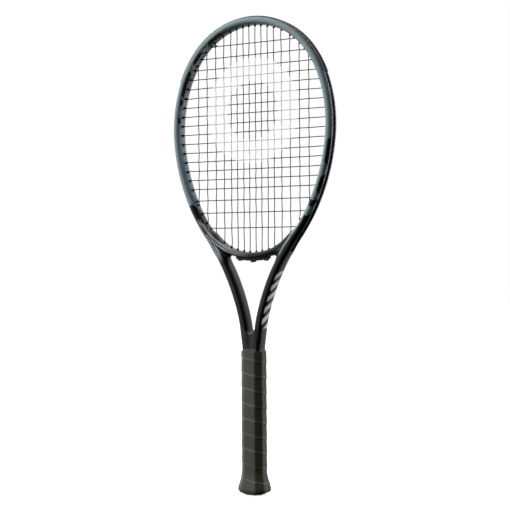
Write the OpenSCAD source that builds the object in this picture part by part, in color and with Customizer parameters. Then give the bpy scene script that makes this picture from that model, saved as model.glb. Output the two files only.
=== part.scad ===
// Tennis racket: hollow hairpin frame with a throat bridge, grommets, a woven
// string bed and a wrapped octagonal handle. Millimetres, +Z up the racket,
// front of the racket towards -Y, origin at the centre of the butt end.

/* [Frame] */
// Length from the butt end to the top of the head
overall_length = 685.8; // [684:0.1:688]
// Width of the frame tube in the plane of the strings
tube_width = 11.4; // [11:0.1:11.8]
// Depth of the frame tube, front to back
tube_depth = 23; // [22:0.1:24]
// Wall of the frame tube
tube_wall = 1.6; // [1.2:0.1:1.8]
// Depth of the throat bridge, front to back
bridge_depth = 21; // [19:0.1:22]
// Width of the throat bridge in the plane of the strings
bridge_width = 9.5; // [9:0.1:10]

/* [Strings] */
// Diameter of the string
string_d = 1.3; // [1.1:0.05:1.4]
// Diameter of a grommet barrel
barrel_d = 3.4; // [3:0.1:3.6]
// Spacing of the cross strings in the middle of the bed
cross_gap = 13.485; // [13.3:0.005:13.6]

/* [Handle] */
// Width of the wrapped grip, side to side
grip_width = 33; // [32.6:0.1:34]
// Depth of the wrapped grip, front to back
grip_depth = 28.6; // [28.2:0.1:30]
// Height of the top of the grip
grip_top = 205; // [200:1:206]
// Greatest width of the flare at the butt
butt_width = 44; // [42:0.5:46]

/* [Hidden] */
$fn = 48;
ring_fn = 240;
clear = 0.05;

// ---- the hairpin: rings that meet tangentially ----
// Joint directions, seen from each ring's centre. They are short decimals, so
// that neighbouring rings meet on exactly the same plane.
crown_end = [0.8, 0.6];
corner_end = [0.936, 0.352];
side_end = [0.99712, -0.07584];
cheek_end = [0.8, -0.6];
channel_stop = [0.8432, -0.5376];
tube_half = tube_width / 2;
depth_half = tube_depth / 2;
bumper_t = 0.8;
crown_r = 116.3;
corner_r = 146.3;
side_r = 196.3;
cheek_r = 271.3;
shaft_r = 323.8;
crown_c = [0, overall_length - bumper_t - tube_half - crown_r];
corner_c = crown_c + (crown_r - corner_r) * crown_end;
side_c = corner_c + (corner_r - side_r) * corner_end;
cheek_c = side_c + (side_r - cheek_r) * side_end;
shaft_c = cheek_c + (cheek_r + shaft_r) * cheek_end;
leg_x = shaft_c[0] - shaft_r;
leg_bottom = 15;

// Each ring: centre, signed radius (negative where it curls the other way),
// direction at its upper end, direction at its lower end.
RINGS = [
  [crown_c, crown_r, [0, 1], crown_end],
  [corner_c, corner_r, crown_end, corner_end],
  [side_c, side_r, corner_end, side_end],
  [cheek_c, cheek_r, side_end, cheek_end],
  [shaft_c, -shaft_r, cheek_end, [1, 0]],
];

// ---- the bridge across the throat: one ring, from cheek to cheek ----
bridge_half = bridge_width / 2;
bridge_inner_r = 92;
bridge_c = [0, crown_c[1] - 124];
bridge_stop = [0.7314, -0.682];
BRIDGE = [bridge_c, bridge_inner_r + bridge_half];

// ---- channels, grommets and barrels ----
channel_w = 7.6;
channel_floor = tube_half - 2.6;
bridge_floor = bridge_half - 1.2;
strip_t = 0.8;
strip_w = channel_w - 2 * clear;
barrel_out = 2;
bore_d = barrel_d + 0.2;
barrel_bore = string_d + 0.7;
bumper_half = 8.8;

// ---- strings ----
MAIN_X = [5.16, 14.84, 25.34, 35.48, 47.67, 61.51, 76.52, 91.43];
n_main = len(MAIN_X);
n_cross = 19;
first_cross_z = crown_c[1] + 85;
HEAD_GAPS = [16.9, 15.7];
THROAT_GAPS = [17, 18.3, 22.3];
weave = 0.75;
string_sides = 6;
string_out = channel_floor + strip_t + string_d / 2 + clear;
bridge_string_out = bridge_floor + strip_t + string_d / 2 + clear;
lane = 1.6;
bend = 1.1;

// ---- handle ----
wrap_t = 1.7;
bevel = 7.7;
pallet_top = 200;
pallet_bottom = 4;
badge_d = 21;
badge_t = 1;
staple_z = 9;
butt_depth = butt_width - 4;
flare_top = 31;
flare_z = 7.5;
flare_low_z = 3.6;
low_inset = 1.3;
end_inset = 8.2;

// ================= positions on the frame =================

function sum_of(list, n) = n <= 0 ? 0 : list[n - 1] + sum_of(list, n - 1);

// Gap below cross number i
function gap_after(i) =
  i < len(HEAD_GAPS) ? HEAD_GAPS[i]
  : i < n_cross - 1 - len(THROAT_GAPS) ? cross_gap
  : THROAT_GAPS[i - (n_cross - 1 - len(THROAT_GAPS))];

CROSS_GAPS = [for (i = [0:n_cross - 2]) gap_after(i)];
CROSS_Z = [for (i = [0:n_cross - 1]) first_cross_z - sum_of(CROSS_GAPS, i)];

function heading_of(dir) = 90 - atan2(dir[1], dir[0]);
function clamp1(v) = max(-1, min(1, v));

// Point on a ring at heading a, d outside its centreline, as [x, z]
function on_ring(ring, a, d) = ring[0] + (ring[1] + d) * [sin(a), cos(a)];

function ring_from(i) = heading_of(RINGS[i][2]);
function ring_to(i) = heading_of(RINGS[i][3]);
function within(i, a) =
  i < 4 ? a >= ring_from(i) && a <= ring_to(i) : a <= ring_from(i) && a >= 90;

// [ring number, heading] where an upright line meets the right of the head
function hit_upright(x, d, upper) =
  let (
    hits = [
      for (i = upper ? [0, 1] : [3, 4])
        let (
          s = asin(clamp1((x - RINGS[i][0][0]) / (RINGS[i][1] + d))),
          a = upper ? s : 180 - s
        )
        if (within(i, a)) [i, a]
    ]
  ) hits[0];

// The same for a level line
function hit_level(z, d) =
  let (
    hits = [
      for (i = [0:4])
        let (a = acos(clamp1((z - RINGS[i][0][1]) / (RINGS[i][1] + d))))
        if (within(i, a)) [i, a]
    ]
  ) hits[0];

mouth_d = -tube_half - barrel_out;
HEAD_HITS = [for (x = MAIN_X) hit_upright(x, mouth_d, true)];
CROSS_HITS = [for (z = CROSS_Z) hit_level(z, mouth_d)];
n_bridge = 5;
n_shoulder = n_main - n_bridge;
SHOULDER_HITS = [for (i = [n_bridge:n_main - 1]) hit_upright(MAIN_X[i], mouth_d, false)];

// Where a main goes through the bridge: [ring, heading]
bridge_mouth_r = bridge_inner_r - barrel_out;
function bridge_hit(x) = [BRIDGE, 180 - asin(x / bridge_mouth_r)];
bridge_mouth_d = -bridge_half - barrel_out;
corner_main_x = MAIN_X[n_bridge - 1];
corner_main_top = bridge_c[1] - sqrt(bridge_mouth_r ^ 2 - corner_main_x ^ 2);
corner_main_bottom = bridge_c[1] - sqrt((bridge_inner_r + bridge_width) ^ 2 - corner_main_x ^ 2);

// Points of the half turn that a string makes through one hole, from the
// mouth inside the head to the lane in the channel. side is +1 when it leaves
// clockwise and -1 when anticlockwise; back is the lane's offset in Y.
function turn_out(ring, a, mouth, out, side, back) =
  let (step = side * 180 / PI / abs(ring[1]))
  [
    on3(ring, a, mouth, 0),
    on3(ring, a, out - bend, 0),
    on3(ring, a + step * 0.3 * bend, out - 0.3 * bend, 0),
    on3(ring, a + step * bend, out, 0.25 * back),
    on3(ring, a + step * 3.2 * bend, out, back),
  ];

function on3(ring, a, d, y) = let (p = on_ring(ring, a, d)) [p[0], y, p[1]];

function reversed(list) = [for (i = [len(list) - 1:-1:0]) list[i]];
function flip_x(list) = [for (p = list) [-p[0], p[1], p[2]]];

// ================= shapes =================

// Section of the moulded tube: a superellipse with half axes a and b
module oval(a, b) {
  polygon([
    for (i = [0:27])
      let (t = (i + 0.5) * 360 / 28)
      [
        a * sign(cos(t)) * pow(abs(cos(t)), 0.8),
        b * sign(sin(t)) * pow(abs(sin(t)), 0.8)
      ]
  ]);
}

// The tube where it has no channel, on the shafts and the legs
module plain_section() {
  difference() {
    oval(tube_half, depth_half);
    oval(tube_half - tube_wall, depth_half - tube_wall);
  }
}

module tube_section() {
  difference() {
    oval(tube_half, depth_half);
    translate([channel_floor, -channel_w / 2]) square([tube_half, channel_w]);
    difference() {
      oval(tube_half - tube_wall, depth_half - tube_wall);
      translate([channel_floor - tube_wall, -channel_w / 2 - tube_wall])
        square([tube_half, channel_w + 2 * tube_wall]);
    }
  }
}

module tube_envelope_section() {
  oval(tube_half + clear, depth_half + clear);
}

module bridge_section() {
  difference() {
    oval(bridge_half, bridge_depth / 2);
    translate([bridge_floor, -channel_w / 2]) square([bridge_half, channel_w]);
    difference() {
      oval(bridge_half - tube_wall, bridge_depth / 2 - tube_wall);
      translate([bridge_floor - tube_wall, -channel_w / 2 - tube_wall])
        square([bridge_half, channel_w + 2 * tube_wall]);
    }
  }
}

// Floor strip of a grommet piece, lying in the channel
module strip_section(floor_d) {
  translate([floor_d + clear, -strip_w / 2]) square([strip_t - clear, strip_w]);
}

module bumper_section() {
  strip_section(channel_floor);
  difference() {
    oval(tube_half + bumper_t, depth_half + bumper_t);
    oval(tube_half + clear, depth_half + clear);
    translate([-tube_width, -tube_depth]) square([tube_width + 3.1, 2 * tube_depth]);
    translate([0, bumper_half]) square(tube_depth);
    mirror([0, 1]) translate([0, bumper_half]) square(tube_depth);
    translate([0, -strip_w / 2]) square([tube_width, strip_w]);
  }
  for (s = [-1, 1])
    translate([channel_floor + clear, s * (strip_w - strip_t) / 2 - strip_t / 2])
      square([tube_half + bumper_t / 2 - channel_floor, strip_t]);
  for (s = [-1, 1])
    translate([tube_half + clear, s * (strip_w / 2 + 0.5) - 0.8])
      square([bumper_t - 2 * clear, 1.6]);
}

// One ring of a section, cut to the wedge between two directions
module ring_piece(centre, radius, from, to) {
  reach = 500;
  translate([centre[0], 0, centre[1]])
    rotate([90, 0, 0])
      intersection() {
        rotate_extrude($fn = ring_fn)
          translate([abs(radius), 0]) mirror([radius < 0 ? 1 : 0, 0]) children();
        linear_extrude(2 * tube_depth, center = true)
          polygon([[0, 0], reach * sign(radius) * from, reach * sign(radius) * to]);
      }
}

module ring(i) {
  ring_piece(RINGS[i][0], RINGS[i][1], RINGS[i][2], RINGS[i][3]) children();
}

// A section along the bridge, as far as one direction on both sides
module bridge_arc(to) {
  ring_piece(BRIDGE[0], BRIDGE[1], [-to[0], to[1]], to) children();
}

module both_sides() {
  children();
  mirror([1, 0, 0]) children();
}

// A rod from d1 to d2 outside a ring's centreline, at heading a
module spoke(ring, a, d1, d2, diameter) {
  p = on_ring(ring, a, d1);
  translate([p[0], 0, p[1]])
    rotate([0, a, 0])
      cylinder(h = d2 - d1, d = diameter);
}

// The upright rod of the main that passes through the corner of the bridge
module corner_spoke(below, above, diameter) {
  translate([corner_main_x, 0, corner_main_bottom + below])
    cylinder(h = corner_main_top + above - corner_main_bottom - below, d = diameter);
}

module tube_spoke(hit, d1, d2, diameter) {
  spoke(RINGS[hit[0]], hit[1], d1, d2, diameter);
}

// Sweeps a regular section along a path that stays close to the XZ plane
module sweep(path, radius, sides) {
  n = len(path);
  rings = [
    for (i = [0:n - 1])
      let (
        step = path[min(i + 1, n - 1)] - path[max(i - 1, 0)],
        t = step / norm(step),
        level = cross(t, [0, 1, 0]),
        u = level / norm(level),
        v = cross(u, t)
      )
      [for (k = [0:sides - 1]) path[i] + radius * (cos(k * 360 / sides) * u + sin(k * 360 / sides) * v)]
  ];
  polyhedron(
    points = [for (r = rings) each r],
    faces = [
      [for (k = [sides - 1:-1:0]) k],
      for (i = [0:n - 2])
        for (k = [0:sides - 1])
          let (a = i * sides + k, b = i * sides + (k + 1) % sides)
          each [[a, b, b + sides], [a, b + sides, a + sides]],
      [for (k = [0:sides - 1]) (n - 1) * sides + k]
    ]
  );
}

function octagon(hx, hy, cut) = [
  [hx, -hy + cut], [hx, hy - cut], [hx - cut, hy], [-hx + cut, hy],
  [-hx, hy - cut], [-hx, -hy + cut], [-hx + cut, -hy], [hx - cut, -hy],
];

// Stack of octagons, each [z, half width, half depth, corner cut]
module octagon_loft(stations) {
  n = len(stations);
  polyhedron(
    points = [
      for (s = stations)
        for (p = octagon(s[1], s[2], s[3])) [p[0], p[1], s[0]]
    ],
    faces = [
      [for (k = [0:7]) k],
      for (i = [0:n - 2])
        for (k = [0:7])
          [i * 8 + k, (i + 1) * 8 + k, (i + 1) * 8 + (k + 1) % 8, i * 8 + (k + 1) % 8],
      [for (k = [7:-1:0]) (n - 1) * 8 + k]
    ]
  );
}

// ================= frame =================

module frame_tube_body() {
  ring_piece(crown_c, crown_r, [-crown_end[0], crown_end[1]], crown_end) tube_section();
  both_sides() {
    for (i = [1:3]) ring(i) tube_section();
    ring_piece(shaft_c, -shaft_r, cheek_end, channel_stop) tube_section();
    ring_piece(shaft_c, -shaft_r, channel_stop, [1, 0]) plain_section();
    translate([leg_x, 0, leg_bottom])
      linear_extrude(shaft_c[1] - leg_bottom) plain_section();
  }
}

// Solid shape of the lower frame with a little clearance, for cutting its neighbours
module lower_envelope() {
  both_sides() {
    ring(3) tube_envelope_section();
    ring(4) tube_envelope_section();
    translate([leg_x, 0, leg_bottom - clear])
      linear_extrude(shaft_c[1] - leg_bottom + clear) tube_envelope_section();
  }
}

module string_holes(d) {
  both_sides() {
    for (hit = HEAD_HITS) tube_spoke(hit, -tube_half - 1, channel_floor + 1, d);
    for (hit = CROSS_HITS) tube_spoke(hit, -tube_half - 1, channel_floor + 1, d);
    for (hit = SHOULDER_HITS) tube_spoke(hit, -tube_half - 1, channel_floor + 1, d);
  }
}

module frame_tube() {
  color("SlateGray") difference() {
    frame_tube_body();
    string_holes(bore_d);
  }
}

module throat_bridge() {
  color("DimGray") difference() {
    bridge_arc(bridge_stop) bridge_section();
    both_sides() {
      ring(3) tube_envelope_section();
      ring(4) tube_envelope_section();
      for (i = [0:n_bridge - 2])
        spoke(BRIDGE, bridge_hit(MAIN_X[i])[1], -bridge_half - 1, bridge_floor + 1, bore_d);
      corner_spoke(-1, 1, bore_d);
    }
  }
}

module shaft_web() {
  web_bottom = 201;
  web_top = 246;
  apex = 236;
  half = 10;
  notch_r = 6;
  color("Gray") difference() {
    translate([-half, -depth_half + 1.4, web_bottom])
      cube([2 * half, tube_depth - 2.8, web_top - web_bottom]);
    both_sides() ring(4) tube_envelope_section();
    translate([0, 0, apex + notch_r]) rotate([90, 0, 0])
      cylinder(h = 2 * tube_depth, r = notch_r, center = true);
    translate([-half - 1, -tube_depth, apex + notch_r]) cube([2 * half + 2, 2 * tube_depth, web_top]);
  }
}

// ================= grommets =================

module barrels(hits) {
  for (hit = hits) tube_spoke(hit, mouth_d, channel_floor + strip_t / 2, barrel_d);
}

module barrel_bores(hits) {
  for (hit = hits) tube_spoke(hit, mouth_d - 1, channel_floor + strip_t + 1, barrel_bore);
}

BUMPER_CROSS = [for (hit = CROSS_HITS) if (hit[0] < 2) hit];
SHOULDER_FROM = 117.4;
SIDE_CROSS = [for (hit = CROSS_HITS) if (hit[0] >= 2 && hit[1] < SHOULDER_FROM) hit];
SHOULDER_CROSS = [for (hit = CROSS_HITS) if (hit[0] >= 2 && hit[1] >= SHOULDER_FROM) hit];
SIDE_MAIN = [for (hit = SHOULDER_HITS) if (hit[0] == 3 && hit[1] < SHOULDER_FROM) hit];
SHOULDER_MAIN = [for (hit = SHOULDER_HITS) if (hit[0] == 4 || hit[1] >= SHOULDER_FROM) hit];

module bumper_guard() {
  color("Black") difference() {
    union() {
      ring_piece(crown_c, crown_r, [-crown_end[0], crown_end[1]], crown_end) bumper_section();
      both_sides() {
        ring(1) bumper_section();
        barrels(HEAD_HITS);
        barrels(BUMPER_CROSS);
      }
    }
    both_sides() {
      barrel_bores(HEAD_HITS);
      barrel_bores(BUMPER_CROSS);
    }
  }
}

module side_grommet_strip() {
  color("Black") difference() {
    union() {
      ring_piece(side_c, side_r, [0.9340, 0.3573], side_end) strip_section(channel_floor);
      ring_piece(cheek_c, cheek_r, side_end, [cos(SHOULDER_FROM - 90), -sin(SHOULDER_FROM - 90)])
        strip_section(channel_floor);
      barrels(SIDE_CROSS);
      barrels(SIDE_MAIN);
    }
    barrel_bores(SIDE_CROSS);
    barrel_bores(SIDE_MAIN);
  }
}

module side_grommet_strip_right() {
  side_grommet_strip();
}

module side_grommet_strip_left() {
  mirror([1, 0, 0]) side_grommet_strip();
}

module shoulder_grommets() {
  start = SHOULDER_FROM - 90 + 0.3;
  shaft_stop = 123.5 - 90;
  color("Black") both_sides() difference() {
    union() {
      ring_piece(cheek_c, cheek_r, [cos(start), -sin(start)], cheek_end)
        strip_section(channel_floor);
      ring_piece(shaft_c, -shaft_r, cheek_end, [cos(shaft_stop), -sin(shaft_stop)])
        strip_section(channel_floor);
      barrels(SHOULDER_CROSS);
      barrels(SHOULDER_MAIN);
      corner_spoke(0.3, 0, barrel_d);
    }
    barrel_bores(SHOULDER_CROSS);
    barrel_bores(SHOULDER_MAIN);
    corner_spoke(-1, 1, barrel_bore);
  }
}

// Strip under the bridge: a floor, a thick band in the middle and three low pads
module throat_grommet_strip() {
  floor_end = [0.43, -0.9];
  band_end = [0.262, -0.965];
  band_drop = 7.5;
  pad_r = 3;
  pad_x = 20;
  pad_drop = 9.7;
  groove = string_d + 0.9;
  color("Black") difference() {
    union() {
      bridge_arc(floor_end) strip_section(bridge_floor);
      bridge_arc(band_end) translate([bridge_floor + clear, -strip_w / 2])
        square([band_drop - bridge_floor - clear, strip_w]);
      for (x = [-pad_x, 0, pad_x])
        let (p = on_ring(BRIDGE, 180 - asin(x / BRIDGE[1]), pad_drop - pad_r))
        translate([p[0], 0, p[1]]) rotate([90, 0, 0])
          cylinder(h = strip_w, r = pad_r, center = true);
      both_sides() for (i = [0:n_bridge - 2])
        spoke(BRIDGE, bridge_hit(MAIN_X[i])[1], bridge_mouth_d, bridge_floor + strip_t / 2, barrel_d);
    }
    bridge_arc([0.4, -0.9])
      translate([bridge_floor + strip_t, -groove / 2]) square([tube_depth, groove]);
    both_sides() for (i = [0:n_bridge - 2])
      spoke(BRIDGE, bridge_hit(MAIN_X[i])[1], bridge_mouth_d - 1, pad_drop + 1, barrel_bore);
  }
}

// ================= strings =================

// Height of main number m (0 leftmost) over cross number c
function over(m, c) = weave * ((m + c) % 2 == 0 ? -1 : 1);

function main_x(m) = m < n_main ? -MAIN_X[n_main - 1 - m] : MAIN_X[m - n_main];

// Crossing points of one main, from the head down
function main_run(m) = [for (c = [0:n_cross - 1]) if (crosses(m, c)) [main_x(m), over(m, c), CROSS_Z[c]]];

// Is cross c long enough to reach main m?
function crosses(m, c) =
  abs(main_x(m)) < on_ring(RINGS[CROSS_HITS[c][0]], CROSS_HITS[c][1], mouth_d)[0] - 2;

function cross_run(c) = [for (m = [0:2 * n_main - 1]) if (crosses(m, c)) [main_x(m), -over(m, c), CROSS_Z[c]]];

// Loop in the channel from one hole of a ring to another hole of the same or the next ring
function mid_points(r1, a1, r2, a2, out, back) =
  r1 == r2 ? [on3(RINGS[r1], (a1 + a2) / 2, out, back)]
  : [on3(RINGS[r1], heading_of(RINGS[r1][3]), out, back)];

function head_loop(i) =
  let (h1 = HEAD_HITS[i], h2 = HEAD_HITS[i + 1])
  concat(
    turn_out(RINGS[h1[0]], h1[1], mouth_d, string_out, 1, lane),
    mid_points(h1[0], h1[1], h2[0], h2[1], string_out, lane),
    reversed(turn_out(RINGS[h2[0]], h2[1], mouth_d, string_out, -1, lane))
  );

function bridge_turn_out(x, side) =
  turn_out(BRIDGE, bridge_hit(x)[1], bridge_mouth_d, bridge_string_out, side, 0);

corner_out = [
  [corner_main_x, 0, corner_main_top],
  [corner_main_x, 0, corner_main_bottom + 2],
  [corner_main_x - 0.4, 0, corner_main_bottom + 0.7],
  [corner_main_x - 1.6, 0, corner_main_bottom - 0.2],
];

// Throat loops, by the number of the inner main on the right half
function throat_loop(i) =
  i < n_bridge - 2
  ? concat(bridge_turn_out(MAIN_X[i], -1), reversed(bridge_turn_out(MAIN_X[i + 1], 1)))
  : i == n_bridge - 2
  ? concat(bridge_turn_out(MAIN_X[i], -1), reversed(corner_out))
  : let (
      h1 = SHOULDER_HITS[i - n_bridge],
      h2 = SHOULDER_HITS[i + 1 - n_bridge],
      s1 = h1[0] == 4 ? 1 : -1
    )
    concat(
      turn_out(RINGS[h1[0]], h1[1], mouth_d, string_out, s1, lane),
      mid_points(h2[0], h2[1], h1[0], h1[1], string_out, lane),
      reversed(turn_out(RINGS[h2[0]], h2[1], mouth_d, string_out, 1, lane))
    );

function last_end() =
  let (h = SHOULDER_HITS[n_shoulder - 1])
  turn_out(RINGS[h[0]], h[1], mouth_d, string_out, -1, lane);

// The right half of the main string, from the middle of the throat outwards
RIGHT_MAINS = concat(
  reversed(bridge_turn_out(MAIN_X[0], 1)),
  [for (i = [0:n_main - 1]) each concat(
    i % 2 == 0 ? reversed(main_run(n_main + i)) : main_run(n_main + i),
    i == n_main - 1 ? last_end() : i % 2 == 0 ? head_loop(i) : throat_loop(i)
  )]
);
LEFT_MAINS = flip_x(concat(
  reversed(bridge_turn_out(MAIN_X[0], 1)),
  [for (i = [0:n_main - 1]) each concat(
    flip_x(i % 2 == 0 ? reversed(main_run(n_main - 1 - i)) : main_run(n_main - 1 - i)),
    i == n_main - 1 ? last_end() : i % 2 == 0 ? head_loop(i) : throat_loop(i)
  )]
));

module main_string() {
  color("DarkSlateGray") sweep(concat(reversed(LEFT_MAINS), RIGHT_MAINS), string_d / 2, string_sides);
}

// Loop on the right of the head from cross c down to the next
function side_loop(c) =
  let (
    h1 = CROSS_HITS[c],
    h2 = CROSS_HITS[c + 1]
  )
  concat(
    turn_out(RINGS[h1[0]], h1[1], mouth_d, string_out, 1, -lane),
    mid_points(h1[0], h1[1], h2[0], h2[1], string_out, -lane),
    reversed(turn_out(RINGS[h2[0]], h2[1], mouth_d, string_out, -1, -lane))
  );

function cross_start() =
  let (h = CROSS_HITS[0])
  flip_x(reversed(turn_out(RINGS[h[0]], h[1], mouth_d, string_out, -1, -lane)));

function cross_finish() =
  let (h = CROSS_HITS[n_cross - 1])
  turn_out(RINGS[h[0]], h[1], mouth_d, string_out, -1, -lane);

CROSS_PATH = concat(
  cross_start(),
  [for (c = [0:n_cross - 1]) each concat(
    c % 2 == 0 ? cross_run(c) : reversed(cross_run(c)),
    c == n_cross - 1 ? cross_finish()
    : c % 2 == 0 ? side_loop(c)
    : flip_x(side_loop(c))
  )]
);

module cross_string() {
  color("DarkSlateGray") sweep(CROSS_PATH, string_d / 2, string_sides);
}

// A knot: two turns of string round an anchor string, and the cut tail
module knot() {
  turns_r = string_d + 0.1;
  rotate_extrude()
    for (z = [0, 0.9 * string_d]) translate([turns_r, z]) circle(d = string_d);
  translate([turns_r, 0, 0.5 * string_d]) rotate([0, 60, 0]) cylinder(h = 3, d = 0.8 * string_d);
}

// Knots sit on the anchor mains, just clear of the barrels
KNOTS = [
  [MAIN_X[5], on_ring(RINGS[SHOULDER_HITS[0][0]], SHOULDER_HITS[0][1], mouth_d)[1] + 1.2],
  [-MAIN_X[5], on_ring(RINGS[SHOULDER_HITS[0][0]], SHOULDER_HITS[0][1], mouth_d)[1] + 1.2],
];

module tie_off_knots() {
  color("DarkSlateGray") {
    for (k = KNOTS) translate([k[0], 0, k[1]]) knot();
    translate([-MAIN_X[5], 0, on_ring(RINGS[HEAD_HITS[5][0]], HEAD_HITS[5][1], mouth_d)[1] - 4.2]) knot();
    translate([MAIN_X[6], 0, on_ring(RINGS[SHOULDER_HITS[1][0]], SHOULDER_HITS[1][1], mouth_d)[1] + 1.2])
      knot();
  }
}

// ================= handle =================

grip_hx = grip_width / 2;
grip_hy = grip_depth / 2;
core_hx = grip_hx - wrap_t;
core_hy = grip_hy - wrap_t;
core_cut = bevel - wrap_t * 0.586;

// Outside of the grip, grown by g; the last numbers are half widths at each height
function flare(g) = [
  [flare_low_z, butt_width / 2 - low_inset + g, butt_depth / 2 - low_inset + g, bevel + 1.4],
  [flare_z, butt_width / 2 + g, butt_depth / 2 + g, bevel + 1.8],
  [14, butt_width / 2 - 1.6 + g, butt_depth / 2 - 1.6 + g, bevel + 1.4],
  [22, grip_hx + 1.7 + g, grip_hy + 1.7 + g, bevel + 0.6],
  [flare_top, grip_hx + g, grip_hy + g, bevel],
];

module handle_pallet() {
  color("Tan") difference() {
    translate([0, 0, pallet_bottom]) linear_extrude(pallet_top - pallet_bottom)
      polygon(octagon(core_hx, core_hy, core_cut));
    lower_envelope();
    staple_slots(clear);
  }
}

module grip_wrap() {
  color("DimGray") difference() {
    octagon_loft(concat(flare(0), [[grip_top, grip_hx, grip_hy, bevel]]));
    octagon_loft(concat(
      [[
        flare_low_z - 1,
        butt_width / 2 - low_inset - wrap_t,
        butt_depth / 2 - low_inset - wrap_t,
        bevel + 0.4
      ]],
      [for (s = flare(clear - wrap_t)) [s[0], s[1], s[2], s[3] - 1]],
      [[grip_top + 1, core_hx + clear, core_hy + clear, core_cut]]
    ));
  }
}

module butt_cap() {
  skirt_top = 26;
  slope = (skirt_top - 22) / (flare_top - 22);
  skirt = flare(-wrap_t);
  color("Black") difference() {
    octagon_loft([
      [0, butt_width / 2 - end_inset, butt_depth / 2 - end_inset, bevel - 1],
      [flare_low_z - 0.8, butt_width / 2 - low_inset - 2.2, butt_depth / 2 - low_inset - 2.2, bevel + 0.4],
      for (i = [0:3]) [skirt[i][0], skirt[i][1], skirt[i][2], skirt[i][3] - 0.8],
      [
        skirt_top,
        skirt[3][1] + slope * (skirt[4][1] - skirt[3][1]),
        skirt[3][2] + slope * (skirt[4][2] - skirt[3][2]),
        skirt[3][3] + slope * (skirt[4][3] - skirt[3][3]) - 0.8
      ],
    ]);
    translate([0, 0, pallet_bottom - clear]) linear_extrude(flare_top)
      polygon(octagon(core_hx + clear, core_hy + clear, core_cut));
    translate([0, 0, -1]) cylinder(h = badge_t + 1, d = badge_d + 2 * clear);
    staple_slots(clear);
  }
}

module butt_cap_badge() {
  color("DarkGray") cylinder(h = badge_t - clear, d = badge_d);
}

// Two wire staples through the skirt of the cap into the pallet, grown by g
module staple_slots(g) {
  crown = 8;
  wire = 0.7;
  leg = 5;
  crown_y = core_hy + 0.75;
  for (s = [0, 1]) mirror([0, s, 0]) translate([0, crown_y, staple_z]) {
    translate([-crown / 2 - g, -wire - g, -wire / 2 - g])
      cube([crown + 2 * g, wire + 2 * g + (g > 0 ? 3 : 0), wire + 2 * g]);
    for (x = [-crown / 2, crown / 2 - wire])
      translate([x - g, -leg - g, -wire / 2 - g]) cube([wire + 2 * g, leg + 2 * g, wire + 2 * g]);
  }
}

module butt_cap_staples() {
  color("Silver") staple_slots(0);
}

module finishing_tape() {
  tape_t = 0.5;
  tape_bottom = 195.5;
  tape_top = 209;
  neck_hx = 14.3;
  neck_hy = 11.65;
  neck_cut = 4;
  color("Black") difference() {
    octagon_loft([
      [tape_bottom, grip_hx + tape_t, grip_hy + tape_t, bevel],
      [grip_top + 0.6, grip_hx + tape_t, grip_hy + tape_t, bevel],
      [grip_top + 1.8, neck_hx + tape_t, neck_hy + tape_t, neck_cut],
      [tape_top, neck_hx + tape_t, neck_hy + tape_t, neck_cut],
    ]);
    octagon_loft([
      [tape_bottom - 1, grip_hx + clear, grip_hy + clear, bevel],
      [grip_top + clear, grip_hx + clear, grip_hy + clear, bevel],
      [grip_top + 1.2, neck_hx, neck_hy, neck_cut],
      [tape_top + 1, neck_hx, neck_hy, neck_cut],
    ]);
  }
}

frame_tube();
throat_bridge();
shaft_web();
bumper_guard();
side_grommet_strip_right();
side_grommet_strip_left();
shoulder_grommets();
throat_grommet_strip();
main_string();
cross_string();
tie_off_knots();
handle_pallet();
butt_cap();
butt_cap_badge();
butt_cap_staples();
grip_wrap();
finishing_tape();
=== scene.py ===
"""Looks of the tennis racket: painted frame shell, woven strings, grommets and a wrapped handle."""

import math

import bmesh
import bpy
import numpy as np
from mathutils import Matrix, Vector


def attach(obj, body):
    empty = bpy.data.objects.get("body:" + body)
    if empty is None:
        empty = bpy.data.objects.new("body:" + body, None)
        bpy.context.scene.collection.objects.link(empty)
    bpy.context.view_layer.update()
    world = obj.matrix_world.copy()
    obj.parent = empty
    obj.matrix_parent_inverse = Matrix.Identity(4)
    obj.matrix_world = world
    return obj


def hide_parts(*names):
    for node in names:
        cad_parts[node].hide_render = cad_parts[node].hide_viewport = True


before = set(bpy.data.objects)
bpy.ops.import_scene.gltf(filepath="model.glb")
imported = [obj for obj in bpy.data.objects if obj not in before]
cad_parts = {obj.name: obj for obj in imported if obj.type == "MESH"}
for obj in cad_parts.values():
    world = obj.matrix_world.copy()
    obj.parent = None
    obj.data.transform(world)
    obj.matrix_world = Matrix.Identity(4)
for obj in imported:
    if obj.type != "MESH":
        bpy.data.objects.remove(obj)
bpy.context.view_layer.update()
MM = 0.001


def put_in_scene(name, data):
    made = bpy.data.objects.new(name, data)
    bpy.context.scene.collection.objects.link(made)
    return made


def set_inputs(node, values):
    for name, value in values.items():
        node.inputs[name].default_value = value


# ---------------- camera, floor, light

# The photograph's view, in metres and degrees
CAMERA_AZIMUTH = 30.0
CAMERA_DISTANCE = 1.706
CAMERA_HEIGHT = 0.3427
CAMERA_ROLL = 0.36
SENSOR_WIDTH = 36.0
# Focal length and offset of the centre, as shares of the picture's width
FOCAL_SHARE = 2.32667
CENTRE_SHIFT = (0.0034, 0.0005)

# The surfaces see a surround that is bright towards this azimuth, and darker below the horizon
BACKDROP_AZIMUTH = 244.0
BACKDROP_TURN = (-0.36, 0.32)
BACKDROP_STRENGTH = (0.03, 1.0)
BELOW_HORIZON = (-0.7, 0.1)
BELOW_STRENGTH = (0.1, 1.0)
# Soft lamps: azimuth, distance, height, width, length and power
FILL_LIGHTS = {
    "front_left": (-50.0, 2.2, 0.70, 1.3, 2.2, 27.0),
    "right": (142.0, 2.4, 0.50, 1.3, 2.2, 72.0),
    "top": (-20.0, 0.9, 2.2, 1.2, 1.2, 16.0),
}
FILL_AIM = (0.0, 0.0, 0.40)

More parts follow.
